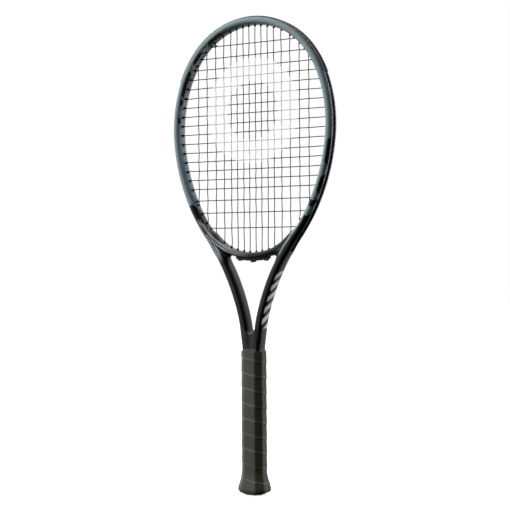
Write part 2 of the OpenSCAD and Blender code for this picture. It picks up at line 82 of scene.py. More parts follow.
FLOOR_REACH = 6.0
FLOOR_DROP = 0.0005
PAPER_WHITE = (0.97, 0.97, 0.97, 1.0)
PAPER_GLOW = 0.75
WHITE = (1.0, 1.0, 1.0, 1.0)


def compass(azimuth):
    """Level direction at this azimuth: 0 is towards the front (-Y), 90 towards the right (+X)."""
    turn = math.radians(azimuth)
    return math.sin(turn), -math.cos(turn)


def add_camera():
    data = bpy.data.cameras.new("camera")
    data.sensor_width = SENSOR_WIDTH
    data.lens = SENSOR_WIDTH * FOCAL_SHARE
    data.shift_x, data.shift_y = CENTRE_SHIFT
    camera = put_in_scene("camera", data)
    x, y = compass(CAMERA_AZIMUTH)
    camera.location = (x * CAMERA_DISTANCE, y * CAMERA_DISTANCE, CAMERA_HEIGHT)
    camera.rotation_euler = [math.radians(angle) for angle in (90.0, CAMERA_ROLL, CAMERA_AZIMUTH)]
    bpy.context.scene.camera = camera


def add_fill(name, azimuth, distance, height, width, length, power):
    """Area light aimed at the middle of the racket. Neither the camera nor a glossy surface sees it."""
    data = bpy.data.lights.new(name, "AREA")
    data.shape = "RECTANGLE"
    data.size = width
    data.size_y = length
    data.energy = power
    light = put_in_scene(name, data)
    x, y = compass(azimuth)
    light.location = (x * distance, y * distance, height)
    aim = Vector(FILL_AIM) - light.location
    light.rotation_euler = aim.to_track_quat("-Z", "Y").to_euler()
    light.visible_camera = False
    light.visible_glossy = False


def ranged(tree, value, before, after, interpolation="LINEAR"):
    """The value with one range stretched to another, and held at its ends."""
    node = tree.nodes.new("ShaderNodeMapRange")
    node.interpolation_type = interpolation
    set_inputs(node, {"From Min": before[0], "From Max": before[1], "To Min": after[0], "To Max": after[1]})
    tree.links.new(value, node.inputs["Value"])
    return node.outputs[0]


def surround_strength(tree):
    """Brightness of the surround as the surfaces see it, by direction."""
    direction = tree.nodes.new("ShaderNodeTexCoord").outputs["Generated"]
    facing = tree.nodes.new("ShaderNodeVectorMath")
    facing.operation = "DOT_PRODUCT"
    facing.inputs[1].default_value = (*compass(BACKDROP_AZIMUTH), 0.0)
    tree.links.new(direction, facing.inputs[0])
    split = tree.nodes.new("ShaderNodeSeparateXYZ")
    tree.links.new(direction, split.inputs[0])
    strength = tree.nodes.new("ShaderNodeMath")
    strength.operation = "MULTIPLY"
    sideways = ranged(tree, facing.outputs["Value"], BACKDROP_TURN, BACKDROP_STRENGTH, "SMOOTHSTEP")
    upwards = ranged(tree, split.outputs["Z"], BELOW_HORIZON, BELOW_STRENGTH)
    tree.links.new(sideways, strength.inputs[0])
    tree.links.new(upwards, strength.inputs[1])
    return strength.outputs[0]


def add_studio():
    """White surround for the camera, and a shaded one for the surfaces."""
    world = bpy.data.worlds.new("studio")
    bpy.context.scene.world = world
    world.use_nodes = True
    tree = world.node_tree
    shaded = tree.nodes["Background"]
    shaded.inputs["Color"].default_value = WHITE
    tree.links.new(surround_strength(tree), shaded.inputs["Strength"])
    plain = tree.nodes.new("ShaderNodeBackground")
    plain.inputs["Color"].default_value = WHITE
    path = tree.nodes.new("ShaderNodeLightPath")
    choose = tree.nodes.new("ShaderNodeMixShader")
    tree.links.new(path.outputs["Is Camera Ray"], choose.inputs[0])
    tree.links.new(shaded.outputs[0], choose.inputs[1])
    tree.links.new(plain.outputs[0], choose.inputs[2])
    tree.links.new(choose.outputs[0], tree.nodes["World Output"].inputs["Surface"])
    for name, settings in FILL_LIGHTS.items():
        add_fill(name, *settings)
    bpy.context.scene.view_settings.view_transform = "Standard"


def add_floor():
    """White paper that catches the shadow but throws no light on the racket."""
    mesh = bpy.data.meshes.new("floor")
    corners = [(-1, -1), (1, -1), (1, 1), (-1, 1)]
    mesh.from_pydata([(x * FLOOR_REACH, y * FLOOR_REACH, 0.0) for x, y in corners], [], [(0, 1, 2, 3)])
    floor = put_in_scene("floor", mesh)
    floor.location.z = -FLOOR_DROP
    floor.visible_glossy = False
    floor.visible_diffuse = False
    material = bpy.data.materials.new("floor_paper")
    material.use_nodes = True
    set_inputs(material.node_tree.nodes["Principled BSDF"], {
        "Base Color": PAPER_WHITE,
        "Roughness": 0.9,
        "Specular IOR Level": 0.0,
        "Emission Color": WHITE,
        "Emission Strength": PAPER_GLOW,
    })
    mesh.materials.append(material)


# ---------------- node expressions

class Sum:
    """A value in a material's node tree that can be used in ordinary arithmetic."""

    def __init__(self, tree, socket):
        self.tree = tree
        self.socket = socket

    def math(self, operation, *others, clamp=False):
        node = self.tree.nodes.new("ShaderNodeMath")
        node.operation = operation
        node.use_clamp = clamp
        for number, value in enumerate((self,) + others):
            if isinstance(value, Sum):
                self.tree.links.new(value.socket, node.inputs[number])
            else:
                node.inputs[number].default_value = value
        return Sum(self.tree, node.outputs[0])

    def __add__(self, other):
        return self.math("ADD", other)

    def __sub__(self, other):
        return self.math("SUBTRACT", other)

    def __mul__(self, other):
        return self.math("MULTIPLY", other)

    def __rsub__(self, other):
        return self * -1.0 + other

    def absolute(self):
        return self.math("ABSOLUTE")

    def either(self, other):
        return self.math("MAXIMUM", other)

    def above(self, level, blur):
        """1 where the value is over level, 0 where it is under, with a thin blend."""
        return self.math("SUBTRACT", level).math("DIVIDE", blur).math("ADD", 0.5, clamp=True)

    def below(self, level, blur):
        return 1.0 - self.above(level, blur)

    def between(self, low, high, blur):
        return self.above(low, blur) * self.below(high, blur)


class Painter:
    """A new node material, with helpers for its coordinates, colours and surface."""

    def __init__(self, name):
        self.material = bpy.data.materials.new(name)
        self.material.use_nodes = True
        self.tree = self.material.node_tree
        self.shader = self.tree.nodes["Principled BSDF"]
        self.link = self.tree.links.new

    def node(self, kind, **settings):
        made = self.tree.nodes.new(kind)
        for key, value in settings.items():
            setattr(made, key, value)
        return made

    def feed_place(self, socket):
        """Give a node the point's place in the row frame, in metres."""
        self.link(self.node("ShaderNodeTexCoord").outputs["Object"], socket)

    def position(self):
        """X, Y and Z in metres."""
        split = self.node("ShaderNodeSeparateXYZ")
        self.feed_place(split.inputs[0])
        return [Sum(self.tree, split.outputs[axis]) for axis in range(3)]

    def attribute(self, name):
        made = self.node("ShaderNodeAttribute", attribute_name=name)
        return Sum(self.tree, made.outputs["Fac"])

    def noise(self, scale, detail, roughness=0.5, stretch=(1.0, 1.0, 1.0)):
        """Cloudy noise through the whole object."""
        mapping = self.node("ShaderNodeMapping")
        mapping.inputs["Scale"].default_value = stretch
        self.feed_place(mapping.inputs["Vector"])
        return self.noise_on(mapping.outputs[0], scale, detail, roughness)

    def noise_at(self, across, up, scale, detail):
        """Noise over a plane whose two coordinates are given as values."""
        joined = self.node("ShaderNodeCombineXYZ")
        self.link(across.socket, joined.inputs["X"])
        self.link(up.socket, joined.inputs["Y"])
        return self.noise_on(joined.outputs[0], scale, detail)

    def noise_on(self, vector, scale, detail, roughness=0.5):
        texture = self.node("ShaderNodeTexNoise")
        set_inputs(texture, {"Scale": scale, "Detail": detail, "Roughness": roughness})
        self.link(vector, texture.inputs["Vector"])
        return Sum(self.tree, texture.outputs["Fac"])

    def cells(self, scale):
        """Distance from the middle of small irregular cells."""
        texture = self.node("ShaderNodeTexVoronoi", feature="F1")
        texture.inputs["Scale"].default_value = scale
        self.feed_place(texture.inputs["Vector"])
        return Sum(self.tree, texture.outputs["Distance"])

    def mix(self, mask, under, over):
        """The colour under, covered by the colour over where the mask is 1.

        A colour is an earlier result, or a paint as three display values of 0 to 255.
        """
        made = self.node("ShaderNodeMix", data_type="RGBA")
        self.link(mask.socket, made.inputs["Factor"])
        for name, colour in (("A", under), ("B", over)):
            if isinstance(colour, tuple):
                made.inputs[name].default_value = (*[linear(value) for value in colour], 1.0)
            else:
                self.link(colour, made.inputs[name])
        return made.outputs["Result"]

    def finish(self, colour, roughness):
        self.link(colour, self.shader.inputs["Base Color"])
        if isinstance(roughness, Sum):
            self.link(roughness.socket, self.shader.inputs["Roughness"])
        else:
            self.shader.inputs["Roughness"].default_value = roughness
        return self.material

    def bump(self, relief, height, strength):
        """Fine relief, with this height in metres between its darkest and lightest parts."""
        made = self.node("ShaderNodeBump")
        set_inputs(made, {"Strength": strength, "Distance": height})
        self.link(relief.socket, made.inputs["Height"])
        self.link(made.outputs[0], self.shader.inputs["Normal"])


def linear(value):
    """Linear light from a display value of 0 to 255, by the usual sRGB curve."""
    value /= 255.0
    return value / 12.92 if value <= 0.04045 else ((value + 0.055) / 1.055) ** 2.4


# ---------------- shape of the frame

# All lengths from here on are in mm, as in the CAD, and all headings in degrees. A heading is measured
# clockwise from straight up, seen from a ring's centre.
OVERALL_LENGTH = 685.8
BUMPER_THICKNESS = 0.8
# Half width, half depth, squareness and inward shift of the tube round the head, then what the shafts
# add to each, and what the neck above the grip adds again
HEAD_TUBE = (5.7, 11.5, 2.5, 0.0)
SHAFT_ADDS = (0.35, 0.4, 0.9, 1.4)
NECK_ADDS = (0.15, 0.0, 0.0, -1.1)
# Lengths along the hairpin between which the shafts and the neck take over
SHAFT_FROM_TO = (395.0, 455.0)
NECK_FROM_TO = (516.0, 552.0)
TUBE_HALF = HEAD_TUBE[0]

# Rings of the hairpin from the top of the head down: the radius, negative where the ring curls the
# other way, and the direction in which it ends, seen from its centre
HAIRPIN = [
    (116.3, (0.8, 0.6)),
    (146.3, (0.936, 0.352)),
    (196.3, (0.99712, -0.07584)),
    (271.3, (0.8, -0.6)),
    (-323.8, (1.0, 0.0)),
]
CROWN_Z = OVERALL_LENGTH - BUMPER_THICKNESS - TUBE_HALF - HAIRPIN[0][0]
BRIDGE_HALF = 4.75
BRIDGE_INNER_RADIUS = 92.0
BRIDGE_DROP = 124.0
# One ring: centre x, centre z, radius, first and last heading
BRIDGE_RING = (0.0, CROWN_Z - BRIDGE_DROP, BRIDGE_INNER_RADIUS + BRIDGE_HALF, 122.0, 180.0)

# The channel for the strings in the outside of the tube, and the groove under the bridge
CHANNEL_END = 413.5
CHANNEL_HALF = 3.8
CHANNEL_FLOOR = 3.1
CHANNEL_ROUNDING = 0.9
GROOVE_FLOOR = 3.55
GROOVE_REACH = 43.0
# How the bridge runs into the tube: the fillet in the middle, and where it fades at the sides
FILLET = 16.0
FILLET_LEAST = 0.5
FILLET_FADE = (58.0, 76.0)
# The skin is shallower on the bridge and at its edges
BRIDGE_SHALLOWER = 1.1
BRIDGE_BLEND = (0.0, 6.0)
EDGE_SHALLOWER = 2.2
EDGE_BLEND = (-0.5, 2.5)

# The panel between the shafts: its lower end, the lowest point of its curved top and its size
WEB_BOTTOM = 198.0
WEB_APEX = 229.5
WEB_CURVE = 11.0
WEB_HALF_WIDTH = 9.0
WEB_HALF_DEPTH = 11.6
WEB_FILLET = 4.0
# Where the other shaft is near enough to matter, and where the two melt together
SHAFTS_NEAR = 300.0
SHAFTS_MELT = (196.0, 204.0)
SHAFT_FILLET = 5.0
# Greatest half depth anywhere, and the rounding there
SKIN_HALF_DEPTH = 12.0
SKIN_ROUNDING = 0.8
FAR = 1000.0
HEADING_SLACK = 0.01


def heading_of(direction):
    return 90.0 - math.degrees(math.atan2(direction[1], direction[0]))


def hairpin_rings():
    """Centre x, centre z, signed radius, first and last heading of each ring. They meet tangentially."""
    rings = []
    x = 0.0
    z = CROWN_Z
    last_radius = HAIRPIN[0][0]
    meeting = (0.0, 1.0)
    for radius, end in HAIRPIN:
        x += (last_radius - radius) * meeting[0]
        z += (last_radius - radius) * meeting[1]
        rings.append((x, z, radius, heading_of(meeting), heading_of(end)))
        last_radius = radius
        meeting = end
    return rings


RINGS = hairpin_rings()
LEG_TOP = RINGS[-1][1]
LEG_X = RINGS[-1][0] + RINGS[-1][2]


def ring_starts():
    """Length along the hairpin, from the top of the head, at which each ring starts and the last ends."""
    lengths = [abs(radius) * math.radians(abs(last - first)) for _, _, radius, first, last in RINGS]
    return [sum(lengths[:number]) for number in range(len(lengths) + 1)]


RING_START = ring_starts()


def hairpin_coordinates(x, z):
    """For points of the right half: length along the hairpin and distance outside its centreline."""
    out = np.full(x.shape, FAR)
    along = np.zeros(x.shape)
    for number, (cx, cz, radius, first, last) in enumerate(RINGS):
        sign = math.copysign(1.0, radius)
        dx = sign * (x - cx)
        dz = sign * (z - cz)
        heading = np.degrees(np.arctan2(dx, dz))
        distance = sign * (np.hypot(dx, dz) - abs(radius))
        low = min(first, last) - HEADING_SLACK
        high = max(first, last) + HEADING_SLACK
        inside = (heading >= low) & (heading <= high) & (np.abs(distance) < np.abs(out))
        out[inside] = distance[inside]
        turned = np.radians(np.abs(heading - first))
        along[inside] = RING_START[number] + turned[inside] * abs(radius)
    leg = (z <= LEG_TOP) & (np.abs(x - LEG_X) < np.abs(out))
    out[leg] = (x - LEG_X)[leg]
    along[leg] = RING_START[-1] + (LEG_TOP - z)[leg]
    return along, out


def bridge_coordinates(x, z):
    """Distance below the centreline of the throat bridge, and far away where it isn't."""
    cx, cz, radius, first, last = BRIDGE_RING
    heading = np.degrees(np.arctan2(x - cx, z - cz))
    inside = (heading >= first) & (heading <= last + HEADING_SLACK)
    return np.where(inside, np.hypot(x - cx, z - cz) - radius, FAR)


def smoothstep(value, low, high):
    t = np.clip((value - low) / (high - low), 0.0, 1.0)
    return t * t * (3.0 - 2.0 * t)


def oval_distance(u, v, a, b, power):
    """Rough distance of the point (u, v) outside a superellipse with half axes a and b."""
    nearly_none = 1e-9
    least_slope = 1e-3
    pu = np.abs(u) / a
    pv = np.abs(v) / b
    total = pu ** power + pv ** power + nearly_none
    level = total ** (1.0 / power)
    slope = np.hypot(pu ** (power - 1) / a, pv ** (power - 1) / b) * total ** (1.0 / power - 1.0)
    return (level - 1.0) / np.maximum(slope, least_slope)


def smooth_union(first, second, radius):
    """Both solids, with the corner between them filled as far as this radius."""
    blend = np.maximum(radius - np.abs(first - second), 0.0) / radius
    return np.minimum(first, second) - blend * blend * radius / 4.0


def smooth_cut(solid, tool, radius):
    """The solid without the tool, with the new edges rounded."""
    return -smooth_union(-solid, tool, radius)


def box_distance(*sides):
    """Inside where every one of the sides is negative."""
    return np.maximum.reduce(sides)


def tube_sizes(along):
    """Half width, half depth, squareness and inward shift of the tube. The shafts are squarer."""
    shaft = smoothstep(along, *SHAFT_FROM_TO)
    neck = smoothstep(along, *NECK_FROM_TO)
    rows = zip(HEAD_TUBE, SHAFT_ADDS, NECK_ADDS)
    return [head + shaft * more + neck * extra for head, more, extra in rows]


def head_distance(side, y, z):
    """Hairpin tube and throat bridge in one skin, flush where they meet, with their channels."""
    along, out = hairpin_coordinates(side, z)
    below = bridge_coordinates(side, z)
    half_width, half_depth, power, inwards = tube_sizes(along)
    tube_edge = np.abs(out + inwards) - half_width
    bridge_edge = np.abs(below) - BRIDGE_HALF
    fillet = FILLET_LEAST + FILLET * (1.0 - smoothstep(side, *FILLET_FADE))
    edge = smooth_union(tube_edge, bridge_edge, fillet)
    half_depth = half_depth - BRIDGE_SHALLOWER * smoothstep(tube_edge - bridge_edge, *BRIDGE_BLEND)
    half_depth = half_depth - EDGE_SHALLOWER * smoothstep(np.minimum(tube_edge, bridge_edge), *EDGE_BLEND)
    shell = oval_distance(np.maximum(edge + half_width, 0.0), y, half_width, half_depth, power)
    lane = np.abs(y) - CHANNEL_HALF
    channel = box_distance(lane, CHANNEL_FLOOR - out, along - CHANNEL_END)
    groove = box_distance(lane, GROOVE_FLOOR - below, side - GROOVE_REACH, below - 2.0 * BRIDGE_HALF)
    return smooth_cut(smooth_cut(shell, channel, CHANNEL_ROUNDING), groove, CHANNEL_ROUNDING)


def shell_distance(x, y, z):
    """Distance outside the painted frame. It is negative inside."""
    side = np.abs(x)
    shell = head_distance(side, y, z)
    along, out = hairpin_coordinates(-side, z)
    half_width, half_depth, power, inwards = tube_sizes(along)
    other_shaft = oval_distance(out + inwards, y, half_width, half_depth, power)
    other_shaft = np.where(z < SHAFTS_NEAR, other_shaft, FAR)
    shell = smooth_union(shell, other_shaft, 0.1 + SHAFT_FILLET * smoothstep(z, *SHAFTS_MELT))
    top = WEB_APEX + side ** 2 / WEB_CURVE
    web = box_distance(z - top, WEB_BOTTOM - z, np.abs(y) - WEB_HALF_DEPTH, side - WEB_HALF_WIDTH)
    shell = smooth_union(shell, web, WEB_FILLET)
    return smooth_cut(shell, SKIN_HALF_DEPTH - np.abs(y), SKIN_ROUNDING)


# ---------------- meshing

CELL_CORNERS = ((0, 0), (1, 0), (1, 1), (0, 1))


def surface_nets(values, axes):
    """Quads round the zero level of a field that is sampled on a grid. Negative is inside."""
    inside = values < 0.0
    cells = tuple(count - 1 for count in values.shape)
    total = np.zeros(cells + (3,))
    hits = np.zeros(cells)
    grids = np.meshgrid(*axes, indexing="ij")
    crossings = []
    for axis in range(3):
        low = tuple(slice(0, -1) if n == axis else slice(None) for n in range(3))
        high = tuple(slice(1, None) if n == axis else slice(None) for n in range(3))
        crossed = inside[low] != inside[high]
        crossings.append((crossed, inside[low]))
        gap = np.where(crossed, values[low] - values[high], 1.0)
        share = np.where(crossed, values[low] / gap, 0.0)
        points = [grid[low] + share * (grid[high] - grid[low]) for grid in grids]
        second = (axis + 1) % 3
        third = (axis + 2) % 3
        for step_a, step_b in CELL_CORNERS:
            pick = [slice(None)] * 3
            pick[second] = slice(step_a, cells[second] + step_a)
            pick[third] = slice(step_b, cells[third] + step_b)
            pick = tuple(pick)
            hits += crossed[pick]
            for n in range(3):
                total[..., n] += crossed[pick] * points[n][pick]
    used = hits > 0
    index = np.cumsum(used.ravel()).reshape(cells) - 1
    vertices = total[used] / hits[used][:, None]
    quads = []
    for axis in range(3):
        crossed, low_inside = crossings[axis]
        second = (axis + 1) % 3
        third = (axis + 2) % 3
        inner = [slice(None)] * 3
        inner[second] = slice(1, cells[second])
        inner[third] = slice(1, cells[third])
        inner = tuple(inner)
        place = np.argwhere(crossed[inner])
        outward = low_inside[inner][crossed[inner]]
        corner = []
        for step_a, step_b in CELL_CORNERS:
            at = place.copy()
            at[:, second] += step_a
            at[:, third] += step_b
            corner.append(index[at[:, 0], at[:, 1], at[:, 2]])
        quad = np.stack(corner, axis=1)
        quad[~outward] = quad[~outward][:, ::-1]
        quads.append(quad)
    return vertices, np.concatenate(quads)


def gradient(field, points, step=0.02):
    """Slope of the field at each point, by small steps either way."""
    slopes = []
    for axis in range(3):
        shift = np.zeros(3)
        shift[axis] = step
        change = field(*(points + shift).T) - field(*(points - shift).T)
        slopes.append(change / (2.0 * step))
    return np.stack(slopes, axis=1)


def settle(field, points, rounds):
    """Move points along the field's slope on to its zero level, a short step at a time."""
    least_steep = 0.05
    longest_step = 0.6
    for _ in range(rounds):
        slope = gradient(field, points)
        steep = np.maximum((slope ** 2).sum(axis=1), least_steep)
        move = (field(*points.T) / steep)[:, None] * slope
        length = np.linalg.norm(move, axis=1, keepdims=True)
        points = points - move * (longest_step / np.maximum(length, longest_step))
    return points


def relax(points, quads, rounds):
    """Even out the mesh by moving each point half way to the mean of its neighbours."""
    edges = np.concatenate([quads[:, [n, (n + 1) % 4]] for n in range(4)])
    pairs = np.concatenate([edges, edges[:, ::-1]])
    count = np.bincount(pairs[:, 0], minlength=len(points))
    for _ in range(rounds):
        sums = [np.bincount(pairs[:, 0], points[pairs[:, 1], axis], len(points)) for axis in range(3)]
        mean = np.stack(sums, axis=1) / count[:, None]
        points = (points + mean) / 2.0
    return points


def make_object(name, points_mm, faces, normals=None):
    """New smooth object from points in mm, at the origin of the frame."""
    mesh = bpy.data.meshes.new(name)
    mesh.from_pydata((np.asarray(points_mm) * MM).tolist(), [], [tuple(face) for face in faces])
    mesh.validate()
    mesh.shade_smooth()
    if normals is not None:
        mesh.normals_split_custom_set_from_vertices(normals.tolist())
    return put_in_scene(name, mesh)


def set_attribute(piece, name, values):
    attribute = piece.data.attributes.new(name, "FLOAT", "POINT")
    attribute.data.foreach_set("value", np.asarray(values, dtype=np.float32))


# ---------------- frame shell

GRID = 1.2
DEPTH_GRID = 1.1
# Coarser steps do for the legs, which the grip hides
COARSE_GRID = 6.0
GRID_COUNT_X = 224
GRID_COUNT_Y = 26
SHELL_BOTTOM = 8.0
FINE_FROM = 190.0
GRID_TOP = 690.0
SETTLE_ROUNDS = 3


def centred(count, step):
    return (np.arange(count) - (count - 1) / 2.0) * step


def add_frame_shell():
    """The hoop, throat, bridge and shafts as one moulded and painted skin."""
    coarse = np.arange(SHELL_BOTTOM, FINE_FROM, COARSE_GRID)
    fine = np.arange(FINE_FROM, GRID_TOP, GRID)
    axes = (centred(GRID_COUNT_X, GRID), centred(GRID_COUNT_Y, DEPTH_GRID), np.concatenate([coarse, fine]))
    values = shell_distance(*np.meshgrid(*axes, indexing="ij"))
    points, quads = surface_nets(values, axes)
    points = settle(shell_distance, points, 3)
    for _ in range(SETTLE_ROUNDS):
        points = relax(points, quads, 2)
        points = settle(shell_distance, points, 2)
    normals = gradient(shell_distance, points)
    normals /= np.linalg.norm(normals, axis=1, keepdims=True)
    shell = make_object("frame_shell", points, quads, normals)
    side = np.abs(points[:, 0])
    along, out = hairpin_coordinates(side, points[:, 2])
    below = bridge_coordinates(side, points[:, 2])
    bridge = smoothstep(np.abs(out) - np.abs(below), 0.0, 4.0)
    set_attribute(shell, "along", along)
    set_attribute(shell, "out", out)
    set_attribute(shell, "across", np.where(bridge > 0.0, below, out))
    set_attribute(shell, "bridge", bridge)
    shell.data.materials.append(frame_paint())
    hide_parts("frame_tube", "throat_bridge", "shaft_web")
    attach(shell, "root")


# The paints, and the painted highlights, as display values
# Lighter teal of the front and back faces: a painted highlight
LIT_FACE_TEAL = (139, 160, 164)
DEEP_TEAL = (84, 112, 120)
PALE_TEAL = (158, 180, 180)
# Partly teal paint, partly painted highlight along the front edge
TEAL_WITH_EDGE_HIGHLIGHT = (150, 174, 174)
PLUM = (126, 130, 146)
DUSK = (96, 95, 102)
SMOKE = (50, 50, 56)
# Painted highlight along the lips of the channel
LILAC_LIP_HIGHLIGHT = (190, 187, 200)
# Painted highlight streaks along the front of the shoulders and bridge
LILAC_HIGHLIGHT_STREAK = (168, 174, 178)
SLATE = (54, 55, 63)
SILVER = (222, 227, 238)
PANEL_BLACK = (9, 11, 13)
SHAFT_BLACK = (13, 14, 15)


class FrameSkin:
    """Where a point lies on the painted frame, as node values in mm.

    along is the length from the top of the head, and out the distance outside the tube's centreline.
    The paint is the same after half a turn about the racket's axis, so turned, the height across the
    tube, counts towards the back on the left and towards the front on the right.
    """

    def __init__(self, paint):
        x, y, _ = paint.position()
        right = x.above(0.0, 0.002)
        per_metre = 1.0 / MM
        self.along = paint.attribute("along")
        self.out = paint.attribute("out")
        self.across = paint.attribute("across")
        self.bridge = paint.attribute("bridge")
        self.turned = y * per_metre * (right * -2.0 + 1.0)
        self.depth = y.absolute() * per_metre
        self.side = x.absolute() * per_metre
        self.inner = self.out.below(-0.9, 0.6)
        self.outer = 1.0 - self.inner

    def panel(self, start, end, low, high, start_slope=0.0, end_slope=0.0):
        """Patch between two lengths along the tube and two heights across it, with slanted ends."""
        started = (self.along - self.turned * start_slope).above(start, 0.8)
        not_ended = (self.along - self.turned * end_slope).below(end, 0.8)
        return started * not_ended * self.turned.between(low, high, 0.5)


def frame_paint():
    """Satin teal head with dark and plum panels, running into gloss black shafts."""
    paint = Painter("frame_paint_look")
    skin = FrameSkin(paint)
    colour = head_colour(paint, skin)
    colour = inner_panels(paint, skin, colour)
    colour = outer_panels(paint, skin, colour)
    colour = shoulder_colour(paint, skin, colour)
    colour = shaft_bars(paint, skin, colour)
    set_inputs(paint.shader, {"Coat Weight": 0.35, "Coat Roughness": 0.2, "Specular IOR Level": 0.5})
    flake = paint.noise(scale=4000.0, detail=2.0)
    paint.bump(flake, height=0.00001, strength=0.3)
    cloudy = paint.noise(scale=60.0, detail=4.0, roughness=0.6)
    return paint.finish(colour, cloudy * 0.06 + 0.36)


def head_colour(paint, skin):
    """Deeper teal on the sides; the front and back faces are painted a lighter teal, a painted highlight.
    """
    # The lighter teal on the front and back faces is a painted highlight
    face = skin.depth.above(9.4, 1.6)
    return paint.mix(face, DEEP_TEAL, LIT_FACE_TEAL)


def inner_panels(paint, skin, colour):
    """Plum strip round the inside, then black pointed panels and small blocks along its front."""
    strip = skin.panel(38.0, 86.0, -8.8, 8.6, end_slope=1.0)
    strip = strip.either(skin.panel(92.0, 290.0, -8.8, 8.6, start_slope=-1.0))
    tail = skin.panel(210.0, 330.0, -12.0, -1.0, start_slope=-9.0)
    strip = strip * (1.0 - tail * skin.along.above(205.0, 8.0))
    tint = paint.mix(skin.along.above(165.0, 20.0), DUSK, PLUM)
    colour = paint.mix(strip * skin.along.below(272.0, 50.0) * skin.inner, colour, tint)
    gap = skin.panel(70.0, 126.0, -12.0, -3.4, start_slope=1.0, end_slope=-0.8)
    colour = paint.mix(gap * skin.inner, colour, PALE_TEAL)
    marks = skin.panel(34.0, 86.0, -10.4, -4.5, start_slope=-1.6, end_slope=1.0)
    for start, end in [(88.0, 122.0), (122.0, 174.0)]:
        marks = marks.either(skin.panel(start, end, -10.4, -5.4, start_slope=-0.8, end_slope=0.8))
    block = 8.5
    for start in [173.0, 200.0]:
        marks = marks.either(skin.panel(start, start + block, -10.2, -5.6))
    return paint.mix(marks * skin.inner, colour, PANEL_BLACK)


def outer_panels(paint, skin, colour):
    """Dark rear land, a lilac painted highlight along the lips beside the channel, and black facets in
    front of it.
    """
    rear = skin.outer * skin.turned.between(-10.6, -3.4, 0.8)
    colour = paint.mix(rear * skin.along.above(60.0, 30.0), colour, SMOKE)
    facets = skin.panel(236.0, 290.0, 6.0, 11.3, start_slope=0.8, end_slope=-1.2)
    lower_facet = skin.panel(288.0, 328.0, 5.0, 11.3, start_slope=0.8, end_slope=-0.9)
    colour = paint.mix(facets.either(lower_facet) * skin.outer, colour, PANEL_BLACK)
    # Thin lilac painted highlight along both lips of the channel
    lip_highlight = skin.depth.between(3.9, 5.6, 0.4) * skin.along.between(120.0, 330.0, 20.0)
    return paint.mix(lip_highlight * skin.outer * 0.8, colour, LILAC_LIP_HIGHLIGHT)


def shoulder_colour(paint, skin, colour):
    """Black from the shoulders down, with teal wedges that carry a painted highlight along the front edge,
    and lilac painted highlight streaks on to the bridge.
    """
    lower = (skin.along - skin.turned * 0.9).above(345.0, 1.0)
    stripe = skin.panel(325.0, 329.0, -9.5, 12.0, start_slope=0.6, end_slope=1.1)
    colour = paint.mix(lower.either(stripe), colour, SHAFT_BLACK)
    # Teal wedge running on as a streak along the front edge: partly teal paint, partly painted highlight
    taper = (skin.out + skin.along * 0.034).below(11.0, 0.5)
    wedge_and_highlight = taper * skin.out.above(-5.5, 0.5) * skin.turned.above(7.5, 1.0)
    wedge_and_highlight = wedge_and_highlight * skin.along.between(340.0, 424.0, 8.0)
    colour = paint.mix(wedge_and_highlight * 0.9, colour, TEAL_WITH_EDGE_HIGHLIGHT)
    # Lilac-grey streaks along the front of the shoulders and on to the bridge: painted highlight
    flow = paint.noise_at(skin.along * 0.008, skin.across * 0.34, scale=1.5, detail=1.0)
    lines = flow.above(0.44, 0.06) * skin.across.between(-4.6, 2.2, 1.0)
    front = skin.turned.below(-6.0, 2.0) * skin.along.above(364.0, 12.0)
    fading = skin.along.below(428.0, 14.0).either(skin.bridge * skin.side.above(24.0, 44.0))
    return paint.mix(lines * front * fading * 0.95, colour, LILAC_HIGHLIGHT_STREAK)


def shaft_bars(paint, skin, colour):
    """Slate sides, with plain slanted bars down the outside of the shafts."""
    bars_per_mm = 0.0588
    slant = 0.040
    bars = (skin.along * bars_per_mm - skin.turned * slant).math("FRACT").between(0.20, 0.72, 0.04)
    place = skin.turned.between(-8.6, 9.2, 0.5) * skin.along.between(446.0, 534.0, 0.8)
    sides = skin.outer * skin.turned.between(-10.0, 7.0, 1.5) * skin.along.above(404.0, 12.0)
    colour = paint.mix(sides * (1.0 - place), colour, SLATE)
    return paint.mix(bars * place * skin.outer * 0.9, colour, SILVER)


# ---------------- strings

# Places of the mains to the right of the middle, and of the crosses from the head down
MAIN_X = [5.16, 14.84, 25.34, 35.48, 47.67, 61.51, 76.52, 91.43]
CROSS_GAPS = [16.9, 15.7] + [13.485] * 13 + [17.0, 18.3, 22.3]
FIRST_CROSS_Z = CROWN_Z + 85.0
CROSS_Z = [FIRST_CROSS_Z - sum(CROSS_GAPS[:number]) for number in range(len(CROSS_GAPS) + 1)]
N_MAIN = len(MAIN_X)
N_CROSS = len(CROSS_Z)
# This many mains of each half end at the bridge, and the last of them goes through its corner
N_BRIDGE = 5
STRING_RADIUS = 0.65
# How far a string rises or dips where it crosses another
WEAVE = 0.52
# In the channel the strings turn with this bend, and lie this far from its middle
LANE = 1.6
BEND = 1.1
# Distance outside the centreline of the barrels' ends, and of the strings in the channel
BARREL_OUT = 2.0
STRIP_THICKNESS = 0.8
STRING_LIFT = STRIP_THICKNESS + STRING_RADIUS + 0.05
MOUTH = -TUBE_HALF - BARREL_OUT
STRING_OUT = CHANNEL_FLOOR + STRING_LIFT
BRIDGE_MOUTH = -BRIDGE_HALF - BARREL_OUT
BRIDGE_OUT = GROOVE_FLOOR + STRING_LIFT


def on_ring(ring, heading, out, y=0.0):
    """A point at this heading, out beyond the ring's centreline."""
    cx, cz, radius = ring[:3]
    turn = math.radians(heading)
    return ((radius + out) * math.sin(turn) + cx, y, (radius + out) * math.cos(turn) + cz)


def within(ring, heading):
    slack = 1e-6
    return min(ring[3:]) - slack <= heading <= max(ring[3:]) + slack


def clamped(value):
    return max(-1.0, min(1.0, value))


def first_within(hits):
    """The first ring and heading that go together."""
    return next((ring, heading) for ring, heading in hits if within(ring, heading))


